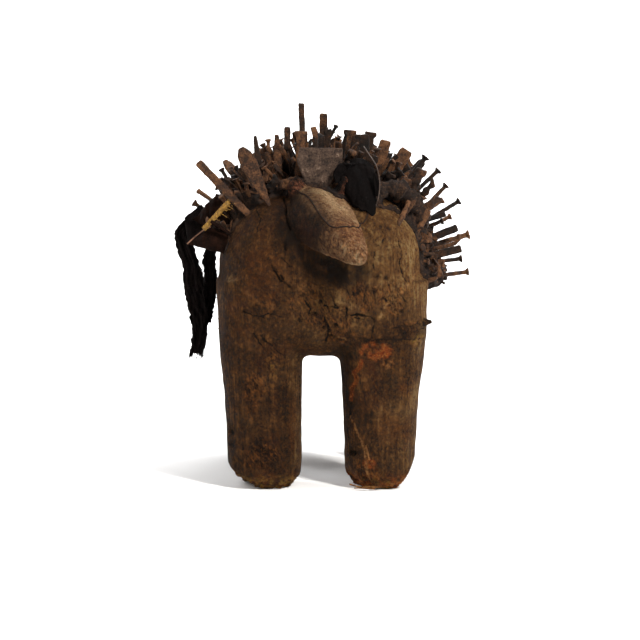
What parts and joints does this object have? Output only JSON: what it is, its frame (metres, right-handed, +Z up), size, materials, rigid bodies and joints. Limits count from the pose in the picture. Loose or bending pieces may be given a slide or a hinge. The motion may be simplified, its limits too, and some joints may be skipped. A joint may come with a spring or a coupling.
{
  "type": "pig power figure",
  "caption": "Carved wooden pig standing on its four feet, its back and flanks driven full of iron nails, blades and sheet.",
  "frame": {"origin": "bottom centre of the whole figure's bounding box, on the plane of the soles", "axes": "+Z up, the pig faces -Y, +X to the viewer's right as one looks at its face"},
  "size_m": [0.3252, 0.41, 0.4122],
  "materials": {
    "carved_wood": "old dry wood with a worn brown patina, cracks and rot",
    "packing": "granular dark crust of resin, earth and fibre, matte",
    "rusted_iron": "rough brown rust",
    "bare_iron": "worn grey sheet with a dull shine and brown rust",
    "black_hide": "stiff black hide, matte",
    "brown_hide": "dry dark brown hide",
    "straw": "flat plaited straw, gold coloured",
    "black_cloth": "coarse black woven cloth, frayed"
  },
  "bodies": {
    "root": {"pig_body": "carved_wood", "packing": "packing", "bar_back_right": "rusted_iron", "bar_left_02": "rusted_iron", "bar_left_end": "rusted_iron", "bar_right_01": "rusted_iron", "bar_right_02": "rusted_iron", "bar_right_03": "rusted_iron", "bar_right_04": "rusted_iron", "bar_top_01": "rusted_iron", "bar_top_02": "rusted_iron", "blade_back_left": "rusted_iron", "blade_back_mid": "rusted_iron", "blade_rump": "rusted_iron", "broad_bar_right": "rusted_iron", "broad_nail_right": "rusted_iron", "chisel_top": "rusted_iron", "flat_nail_right": "rusted_iron", "headed_bar_right": "rusted_iron", "headed_bar_top": "rusted_iron", "hooked_nail_right": "rusted_iron", "leaf_blade_left": "rusted_iron", "nail_back_11": "rusted_iron", "nail_back_12": "rusted_iron", "nail_back_13": "rusted_iron", "nail_back_21": "rusted_iron", "nail_back_22": "rusted_iron", "nail_back_31": "rusted_iron", "nail_back_32": "rusted_iron", "nail_left_01": "rusted_iron", "nail_left_02": "rusted_iron", "nail_left_03": "rusted_iron", "nail_left_low": "rusted_iron", "nail_right_01": "rusted_iron", "nail_right_02": "rusted_iron", "nail_right_03": "rusted_iron", "nail_right_04": "rusted_iron", "nail_right_05": "rusted_iron", "nail_right_06": "rusted_iron", "nail_right_07": "rusted_iron", "nail_right_08": "rusted_iron", "nail_top_01": "rusted_iron", "ribbed_plate_top": "rusted_iron", "scrap_right_front": "rusted_iron", "splinter_left": "rusted_iron", "splinter_left_02": "rusted_iron", "tall_spike_top": "rusted_iron", "iron_sheet_top": "bare_iron", "sheet_back_left": "bare_iron", "black_hide_flap": "black_hide", "hide_flap_left": "brown_hide", "hide_wrap_left": "brown_hide", "cloth_gather_left": "black_cloth", "straw_strip": "straw", "cloth_strip_outer": "black_cloth", "cloth_strip_inner": "black_cloth"}
  },
  "joints": []
}
